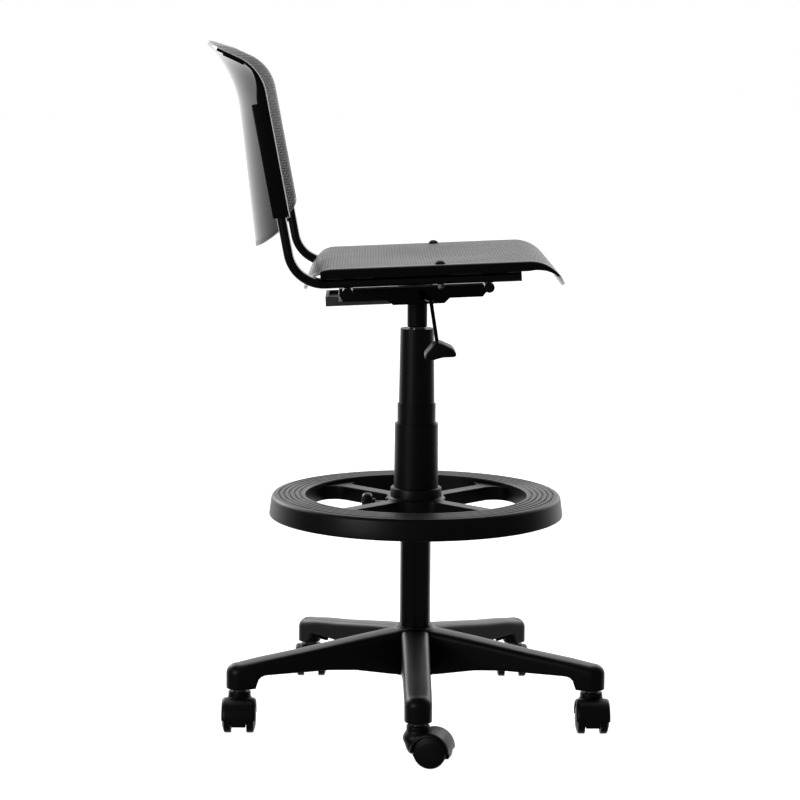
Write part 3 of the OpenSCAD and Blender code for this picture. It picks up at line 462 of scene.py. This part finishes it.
def backPoint(u, v):
    b, t, rise = back, abs(u), (v + 1) / 2
    flatHalf = b["halfWidth"] - b["rimRadius"]
    flatShare, rimShare, (taperFrom, taperOver) = b["flatShare"], b["rimShare"], b["taper"]
    flange = b["flange"] * (1 - smoothStep((rise - taperFrom) / taperOver)) + b["rimRadius"]
    if t < flatShare:
        x, deep = flatHalf * t / flatShare, 0
    elif t < rimShare:
        angle = (t - flatShare) / (rimShare - flatShare) * math.pi / 2
        x, deep = flatHalf + b["rimRadius"] * math.sin(angle), b["rimRadius"] * (1 - math.cos(angle))
    else:
        x, side = b["halfWidth"], flange - b["rimRadius"]
        deep = b["rimRadius"] + side * (t - rimShare) / (1 - rimShare)
    edgeLength = b["straight"] + b["rollRadius"] * math.radians(b["rollDegrees"]) + b["tail"]
    midLength = b["midStraight"] + b["midRadius"] * math.radians(b["midDegrees"]) + b["midTail"]
    low, high = cornerCut(x, b["halfWidth"], b["footCorner"]), cornerCut(x, b["halfWidth"], b["topCorner"])
    edgeY, edgeZ, slope = rolledUp(low + rise * (edgeLength - low - high), b["straight"], b["lean"],
                                   b["rollRadius"], b["rollDegrees"])
    midY, midZ, _ = rolledUp(rise * midLength, b["midStraight"], b["midLean"], b["midRadius"],
                             b["midDegrees"])
    hollow = max(0, 1 - (x / b["bowHalf"]) ** 2)
    bow = hollow ** b["bow"]
    sag = hollow ** (b["footBow"] + (b["bow"] - b["footBow"]) * min(1, rise / b["bowRise"]))
    y = edgeY + bow * (b["hollow"] + midY - edgeY) + deep * math.sin(slope)
    z = edgeZ + sag * (midZ - b["midDrop"] - edgeZ) - deep * math.cos(slope)
    return (math.copysign(x, u), b["footY"] + y, b["footZ"] + z)


def backFace(u, v):  # 0 gridded, 1 smooth border
    return 1 if abs(u) > back["gridTo"][0] or abs(v) > back["gridTo"][1] else 0


def makeSleeve(x):
    b = back
    depth, (mouthWall, mouthDepth) = b["sleeveFront"] + b["sleeveRear"], b["mouth"]
    middle = (b["sleeveRear"] - b["sleeveFront"]) / 2
    deselectAll()
    bpy.ops.mesh.primitive_cube_add(size=1)
    sleeve = bpy.context.object
    for vertex in sleeve.data.vertices:
        vertex.co = (vertex.co.x * b["sleeveWidth"], vertex.co.y * depth + middle,
                     (vertex.co.z + 0.5) * b["sleeveLength"])
    foot = min(sleeve.data.polygons, key=lambda face: face.center.z).index
    bpy.ops.object.mode_set(mode="EDIT")
    bpy.ops.mesh.select_all(action="DESELECT")
    bpy.ops.object.mode_set(mode="OBJECT")
    sleeve.data.polygons[foot].select = True
    bpy.ops.object.mode_set(mode="EDIT")
    bpy.ops.mesh.inset(thickness=mouthWall)  # the foot of the sleeve is open round the tube
    bpy.ops.mesh.extrude_region_move(TRANSFORM_OT_translate={"value": (0, 0, mouthDepth)})
    bpy.ops.object.mode_set(mode="OBJECT")
    finishWith(sleeve, "BEVEL", width=1.5, segments=3, limit_method="ANGLE", angle_limit=math.radians(40))
    lean = math.radians(b["lean"])
    fixToFrame(sleeve, Matrix.Translation((x, b["footY"] + b["axisBack"] / math.cos(lean), b["footZ"]))
               @ Matrix.Rotation(-lean, 4, "X"))
    return sleeve


def makeBackrest():
    shell = shapedSheet("backrestMoulding", 76, 84, backPoint, backFace)
    finishWith(shell, "SOLIDIFY", thickness=back["wall"], offset=-1, material_offset=2,
               material_offset_rim=1)
    finishWith(shell, "BEVEL", width=1.2, segments=2, limit_method="ANGLE", angle_limit=math.radians(60))
    shell = joinPieces("backrestMoulding", [shell, makeSleeve(-seat["tubeX"]), makeSleeve(seat["tubeX"])])
    for face in shell.data.polygons:  # keeps every face within the four slots
        face.material_index = min(face.material_index, sheetSlots - 1)
    fixToFrame(shell, onColumn())
    smooth(shell, 40)
    addPiece(shell, "seat", "polypropylene", ("gridBack", "shell", "backRear", "shell"), "backrest_shell")


# ---- five-armed base

base = {"stemRadius": 297, "start": 16, "wall": 4, "corner": 8, "noseCorner": 5, "crown": 2.4,
        "top": [(16, 149), (31, 147), (94, 138), (196, 122), (263, 113), (296, 107.5), (320, 105)],
        "bottom": [(16, 74.6), (43, 75.5), (108, 87), (153, 90), (259, 89), (270, 86), (275, 68),
                   (320, 67.1)],
        "halfWidth": [(16, 24), (60, 22.6), (150, 21.6), (297, 21.2)],
        "headings": (180, 252, 324, 36, 108), "noseFrom": 0.5,  # from there on v goes round the nose
        "cornerOpens": (0.25, 0.4),  # where along v the corner starts to widen, and how long it takes
        "rib": (2.6, 38, 14), "ribRise": 13, "ribPlaces": (70, 107, 145, 183, 220),
        # (radius, height) outlines of the hub, and of the socket about a caster's stem
        "hub": [(25.4, 74.1), (25.4, 151.1), (27.6, 151.1), (28.6, 150.2), (28.8, 149.2), (34, 147.2),
                (36.4, 144.4), (36.8, 140), (36.8, 80), (42, 78.5), (42, 74.1)],
        "socket": [(5.7, 67.1), (5.7, 101), (15, 101), (16.5, 68), (16, 67.1)]}


def legPoint(u, v):
    stem = base["stemRadius"]
    nose = base["noseFrom"]
    run = base["start"] + (stem - base["start"]) * min(1, (v + 1) / (nose + 1))
    turn = max(0, (v - nose) / (1 - nose)) * math.pi / 2  # round the nose
    top, bottom = along(base["top"], run), along(base["bottom"], run)
    openFrom, openOver = base["cornerOpens"]
    corner = base["corner"] + base["noseCorner"] * smoothStep((v - openFrom) / openOver)
    across, drop = channel(u, along(base["halfWidth"], run), top - bottom, corner, base["crown"])
    side = math.copysign(1, u)
    return (run + abs(across) * math.sin(turn), -side * abs(across) * math.cos(turn), top - drop)


def makeBase():
    pieces = [turned("hub", base["hub"], 96)]
    leg = shapedSheet("leg", 40, 72, legPoint)
    closeUp(leg, 0.05)
    if sum(face.normal.z * face.area for face in leg.data.polygons) < 0:
        leg.data.flip_normals()
    finishWith(leg, "SOLIDIFY", thickness=base["wall"], offset=-1)
    finishWith(leg, "BEVEL", width=0.7, segments=2, limit_method="ANGLE", angle_limit=math.radians(60))
    ribs = [roundedBlock("rib", base["rib"], (run, 0, along(base["bottom"], run) + base["ribRise"]), 0.5, 1)
            for run in base["ribPlaces"]]
    socket = turned("socket", base["socket"], 40)
    socket.data.transform(Matrix.Translation((base["stemRadius"], 0, 0)))
    leg = joinPieces("leg", [leg, socket] + ribs)
    pieces += copiesOf(leg, [aboutZ(heading) for heading in base["headings"]])
    star = joinPieces("baseStarMoulding", pieces)
    fixToFrame(star, onColumn())
    smooth(star, 40)
    addPiece(star, "base", "moulded_nylon", "nylon", "base_star")


# ---- foot ring

ring = {"top": 369, "inner": 180, "outer": 231, "spread": 238.5, "low": 334, "wall": 4,
        "grooves": 5, "grooveDepth": 2.4, "grooveHalf": (1.9, 0.8),  # half width at its top and bottom
        "webTop": 362, "webBottom": 339.5, "spokeHalf": 13, "outerFillet": 26, "innerFillet": 15.6,
        "spokes": (45, 135, 225, 315), "filletShares": (0.3, 0.6), "edgeRadius": 2.5, "draft": 0.12,
        "collar": 41.5, "collarTop": 380, "hub": 30.3, "hubBottom": 330, "bore": 25.4, "coverSeat": 36.3,
        # (radius, distance from the column) outline of the clamp screw's boss, and how deep its axis lies
        "boss": [(4.2, 30), (4.2, 49.5), (9, 49.5), (9.6, 48.6), (9.6, 30)], "bossDrop": 17}


def ringOutline():
    r = ring
    top, inner, outer, (wide, narrow) = r["top"], r["inner"], r["outer"], r["grooveHalf"]
    land = [(inner, r["webBottom"]), (inner, top - 1.6), (inner + 1.6, top)]
    for i in range(1, r["grooves"] + 1):
        middle, floor = inner + i * (outer - inner) / (r["grooves"] + 1), top - r["grooveDepth"]
        land += [(middle - wide, top), (middle - narrow, floor), (middle + narrow, floor),
                 (middle + wide, top)]
    skirt = softened([(outer - 1, top), (outer + 3.5, top - 4), (outer + 5.5, top - 18),
                      (r["spread"], r["low"] + 2), (r["spread"] - 3, r["low"])], 2.2)[1:]
    inside = [(r["spread"] - 4, r["low"] + 2), (outer + 1, top - 18), (outer - 2, top - 7),
              (outer - 5, top - r["wall"]), (inner + r["wall"], top - r["wall"]),
              (inner + r["wall"], r["webBottom"])]
    return land + skirt + inside


def spokePoint(u, v):  # one spoke along x: fillet at the hub, straight waist, fillet at the ring
    r, t = ring, (v + 1) / 2
    half, (hubShare, waistShare) = r["spokeHalf"], r["filletShares"]
    outerFillet, innerFillet = r["outerFillet"], r["innerFillet"]
    outerMiddle = half + outerFillet
    outerX = math.sqrt((r["inner"] - outerFillet) ** 2 - outerMiddle ** 2)
    hubReach = r["collar"] + 6
    innerMiddle = half + innerFillet
    innerX = math.sqrt((hubReach + innerFillet) ** 2 - innerMiddle ** 2)
    if t < hubShare:
        first = math.pi + math.atan2(innerMiddle, innerX)
        angle = first + (math.pi * 1.5 - first) * t / hubShare
        edge = (innerX + innerFillet * math.cos(angle), innerMiddle + innerFillet * math.sin(angle))
        middle = hubReach - 3 + (innerX - hubReach + 3) * t / hubShare
    elif t < waistShare:
        middle = innerX + (outerX - innerX) * (t - hubShare) / (waistShare - hubShare)
        edge = (middle, half)
    else:
        last = math.atan2(outerMiddle, outerX)
        share = (t - waistShare) / (1 - waistShare)
        angle = -math.pi / 2 + (last + math.pi / 2) * share
        edge = (outerX + outerFillet * math.cos(angle), outerMiddle + outerFillet * math.sin(angle))
        middle = outerX + (r["inner"] + 1 - outerX) * share
    corner, wall = quarterTurn(abs(u))
    side = r["webTop"] - r["webBottom"] - r["edgeRadius"]
    reach = min(1, abs(u) / channelFlat) * (1 - r["draft"] * (1 - math.sin(corner)))
    drop = r["edgeRadius"] * (1 - math.cos(corner)) + side * wall
    return (middle + (edge[0] - middle) * reach, -math.copysign(edge[1] * reach, u), r["webTop"] - drop)


def makeRing():
    r = ring
    bore, collar, hub, seatRadius = r["bore"], r["collar"], r["hub"], r["coverSeat"]
    hubOutline = [(bore, r["hubBottom"]), (bore, 364), (seatRadius, 366), (seatRadius, r["collarTop"]),
                  (collar - 2.5, r["collarTop"]), (collar - 0.8, r["collarTop"] - 0.9),
                  (collar, r["collarTop"] - 2.8), (collar, 364), (collar + 1.2, 362.4),
                  (collar + 6, r["webTop"]), (collar + 6, r["webBottom"]), (hub + 2, r["webBottom"]),
                  (hub, r["webBottom"] - 2), (hub, r["hubBottom"] + 1), (hub - 1, r["hubBottom"])]
    boss = turned("boss", r["boss"], 40)
    boss.data.transform(Matrix.Translation((0, 0, r["top"] - r["bossDrop"])) @ zToY)
    pieces = [turned("rim", ringOutline(), 160), turned("hub", hubOutline, 96), boss]
    spoke = shapedSheet("spoke", 26, 60, spokePoint)
    if sum(face.normal.z * face.area for face in spoke.data.polygons) < 0:
        spoke.data.flip_normals()
    finishWith(spoke, "SOLIDIFY", thickness=r["wall"], offset=-1)
    pieces += copiesOf(spoke, [aboutZ(heading) for heading in r["spokes"]])
    moulding = joinPieces("footRingMoulding", pieces)
    fixToFrame(moulding, onColumn())
    smooth(moulding, 35)
    addPiece(moulding, "ring", "moulded_nylon", "nylon", "foot_ring")


# ---- clamp knob

knob = {"radius": 17.5, "thickness": 17, "start": 71, "height": 352, "lobes": 6, "scallop": 2.2,
        "crisp": 2.5, "neck": 8}  # crisp: how sharply the lobes part


def makeKnob():
    k = knob
    r, t = k["radius"], k["thickness"]
    outline = softened([(4, -5), (k["neck"], -5), (k["neck"], 0), (r - 3, 0), (r, 4), (r, t - 5),
                        (r - 3.5, t - 0.6), (5, t), (5, t - 1), (0.01, t - 1), (0.01, t - 4),
                        (4, t - 4)], 1.2)
    grip = turned("clampKnobMoulding", outline, 96)
    for vertex in grip.data.vertices:
        x, y, z = vertex.co
        reach = math.hypot(x, y)
        if reach > k["neck"] + 1:
            dip = (0.5 - 0.5 * math.cos(k["lobes"] * math.atan2(y, x))) ** k["crisp"]
            share = 1 - dip * k["scallop"] / r * smoothStep((reach - k["neck"]) / (r - k["neck"]))
            vertex.co = (x * share, y * share, z)
    fixToFrame(grip, onColumn() @ Matrix.Translation((0, k["start"], k["height"])) @ zToY)
    smooth(grip, 40)
    addPiece(grip, "knob", "moulded_nylon", "nylon", "clamp_knob")


# ---- lever paddle

paddle = {"length": 58, "left": -188, "y": -29, "z": 627.8,
          "section": [(-28, -8), (-27, -12.5), (-22, -13.5), (-7, -14), (8, -18.5), (18, -19), (21, -16),
                      (20, -10), (8, 4), (2, 7.5), (-5, 7), (-23, -1)]}


def makePaddle():
    p = paddle
    outline = softened(p["section"], 4, 3)
    deselectAll()
    bpy.ops.mesh.primitive_circle_add(vertices=len(outline), radius=1, fill_type="NGON")
    grip = bpy.context.object
    for vertex, (y, z) in zip(grip.data.vertices, outline):
        vertex.co = (0, y, z)
    bpy.ops.object.mode_set(mode="EDIT")
    bpy.ops.mesh.select_all(action="SELECT")
    bpy.ops.mesh.extrude_region_move(TRANSFORM_OT_translate={"value": (p["length"], 0, 0)})
    bpy.ops.mesh.select_all(action="SELECT")
    bpy.ops.mesh.normals_make_consistent(inside=False)
    bpy.ops.object.mode_set(mode="OBJECT")
    finishWith(grip, "BEVEL", width=2.2, segments=4, limit_method="ANGLE", angle_limit=math.radians(50))
    grip.name = grip.data.name = "leverPaddleMoulding"
    fixToFrame(grip, onColumn() @ Matrix.Translation((p["left"], p["y"], p["z"])))
    smooth(grip, 40)
    addPiece(grip, "lever", "moulded_nylon", "nylon", "lever_paddle")


# ---- caster hoods, in a frame with the stem on z and the wheels trailing to +x

caster = {"trail": 22.5, "axle": 25.5, "hoodRadius": 30.7, "hoodHalf": 27.5, "edge": 7, "hoodLow": 25.5,
          "webRadius": 29.7, "webHalf": 11.5, "webLow": 14.5, "wheelSpace": 26.2, "webGap": 0.6,
          "stem": [(0.01, 42.2), (5.5, 42.2), (5.5, 70), (0.01, 70)], "bore": 3.05,
          "collar": [(0.01, 17), (8, 17), (14.5, 19), (18, 25), (20.5, 33), (23.5, 40), (23.5, 44),
                     (21.4, 49), (18.6, 53), (18, 55), (18, 61.2), (17, 62.2), (0.01, 62.2)],
          "headings": (255, 180, 0, 0, 180)}


def axleDrum(name, radius, low, high, rounding=0.4):  # closed drum about the axle, from low to high along y
    outline = softened([(0.01, low), (radius, low), (radius, high), (0.01, high)], rounding, 6)
    drum = turned(name, outline, 96)
    drum.data.transform(Matrix.Translation((caster["trail"], 0, caster["axle"])) @ zToY)
    return drum


def below(height):  # block under a height, to cut with
    side, deep = 90, 40
    return roundedBlock("below", (side, side, deep), (caster["trail"], 0, height - deep / 2), 0.2, 1)


def combine(piece, operation, *tools):
    for tool in tools:
        finishWith(piece, "BOOLEAN", operation=operation, object=tool, solver="EXACT")
        bpy.data.objects.remove(tool)


def makeHoods():
    c = caster
    hood = axleDrum("casterHoodMoulding", c["hoodRadius"], -c["hoodHalf"], c["hoodHalf"], c["edge"])
    combine(hood, "DIFFERENCE", below(c["hoodLow"]))
    web = axleDrum("web", c["webRadius"], -c["webHalf"], c["webHalf"], 1.5)
    combine(web, "DIFFERENCE", below(c["webLow"]))
    barrel = turned("barrel", softened(c["collar"], 2, 2), 96)
    combine(hood, "UNION", web, barrel)
    side, width = c["webHalf"] + c["webGap"], 40  # a space for each wheel, open outwards
    wheelSides = [axleDrum("space", c["wheelSpace"], low, low + width) for low in (side, -side - width)]
    stem = turned("stemBore", c["stem"], 48)
    combine(hood, "DIFFERENCE", stem, axleDrum("axleBore", c["bore"], -50, 50, 0.1), *wheelSides)
    places = [onColumn(leg) @ Matrix.Translation((base["stemRadius"], 0, 0)) @ aboutZ(heading - leg)
              for leg, heading in zip(base["headings"], c["headings"])]
    for number, copy in enumerate(copiesOf(hood, places), 1):
        copy.name = copy.data.name = "casterHoodMoulding%d" % number
        smooth(copy, 35)
        addPiece(copy, "caster_%d" % number, "moulded_nylon", "nylon", "caster_%d_hood" % number)


makeSeat()
makeBackrest()
print("seat and backrest made")
makeBase()
makeRing()
makeKnob()
makePaddle()
makeHoods()
print("base, ring, knob, paddle and caster hoods made")


# ---- stage

def makeStage():
    deselectAll()
    bpy.ops.mesh.primitive_plane_add(size=60, location=(0, 0, 0))
    floor = bpy.context.object
    floor.name = "studioFloor"
    material, tree = blankMaterial("palePaper")
    place = addNode(tree, "ShaderNodeTexCoord").outputs["Object"]
    fibre = addNode(tree, "ShaderNodeTexNoise", {"Scale": 900.0}, {"Vector": place})
    relief = addNode(tree, "ShaderNodeBump", {"Distance": 0.00002}, {"Height": fibre.outputs["Fac"]})
    shader = addNode(tree, "ShaderNodeBsdfPrincipled",
                     {"Base Color": linear("#fbfbfb"), "Roughness": 0.9, "Specular IOR Level": 0.0,
                      "Emission Color": linear("#ffffff"), "Emission Strength": 0.96},
                     {"Normal": relief.outputs["Normal"]})
    closeMaterial(tree, shader)
    floor.data.materials.append(material)
    floor.visible_glossy = floor.visible_diffuse = False  # it lights nothing, so the near side stays dark
    world = bpy.data.worlds.new("paleStudio")
    bpy.context.scene.world = world
    world.use_nodes = True
    world.node_tree.nodes.clear()
    tree = world.node_tree
    direction = addNode(tree, "ShaderNodeTexCoord").outputs["Generated"]
    parts = addNode(tree, "ShaderNodeSeparateXYZ", links={"Vector": direction})
    fill = addNode(tree, "ShaderNodeMapRange",  # bright beyond the chair, dark behind the camera
                   {"From Min": 0.3, "From Max": 1.0, "To Min": 0.055, "To Max": 1.3,
                    "interpolation_type": "SMOOTHSTEP"}, {"Value": parts.outputs["X"]})
    dim = addNode(tree, "ShaderNodeBackground", {"Color": linear("#ffffff")},
                  {"Strength": fill.outputs["Result"]})
    white = addNode(tree, "ShaderNodeBackground", {"Color": linear("#ffffff"), "Strength": 1.0})
    seen = addNode(tree, "ShaderNodeLightPath")
    both = addNode(tree, "ShaderNodeMixShader", links={0: seen.outputs["Is Camera Ray"]})
    tree.links.new(dim.outputs[0], both.inputs[1])
    tree.links.new(white.outputs[0], both.inputs[2])
    output = addNode(tree, "ShaderNodeOutputWorld")
    tree.links.new(both.outputs[0], output.inputs["Surface"])


lights = {  # place, size, power in watts; each looks at the middle of the chair
    "softboxBehindLeft": ((2.9, 2.2, 1.9), 1.8, 34),
    "softboxBehindRight": ((3.2, -2.0, 1.7), 1.8, 14),
    "softboxAbove": ((1.3, 0.1, 3.2), 1.8, 9),
    "softboxFloorFill": ((-2.2, 2.2, 1.2), 1.2, 9),
}
lightTarget = 0.6  # metres above the floor


def makeLights():
    target = Vector((columnX, columnY, lightTarget))
    for name, (spot, size, power) in lights.items():
        data = bpy.data.lights.new(name, "AREA")
        data.size, data.energy = size, power
        light = bpy.data.objects.new(name, data)
        light.location = spot
        light.rotation_mode = "QUATERNION"
        light.rotation_quaternion = (target - Vector(spot)).to_track_quat("-Z", "Y")
        bpy.context.scene.collection.objects.link(light)


cameraPlace = {"x": -4.1482, "y": 0.0875, "z": 1.1030,  # metres from the column's axis
               "yaw": -0.0146, "pitch": math.radians(7.98), "roll": -0.007, "focal": 116.6}


def makeCamera():
    c = cameraPlace
    forward = Vector((math.cos(c["yaw"]) * math.cos(c["pitch"]), math.sin(c["yaw"]) * math.cos(c["pitch"]),
                      -math.sin(c["pitch"])))
    flatRight = Vector((math.sin(c["yaw"]), -math.cos(c["yaw"]), 0))
    flatDown = forward.cross(flatRight)
    right = math.cos(c["roll"]) * flatRight + math.sin(c["roll"]) * flatDown
    down = forward.cross(right)
    data = bpy.data.cameras.new("productCamera")
    data.lens, data.sensor_width = c["focal"], 36
    camera = bpy.data.objects.new("productCamera", data)
    camera.matrix_world = Matrix.Translation((columnX + c["x"], columnY + c["y"], c["z"])) @ Matrix(
        (right, -down, -forward)).transposed().to_4x4()
    bpy.context.scene.collection.objects.link(camera)
    bpy.context.scene.camera = camera


makeStage()
makeLights()
makeCamera()
bpy.context.scene.view_settings.view_transform = "Standard"
print("stage, lights and camera set")
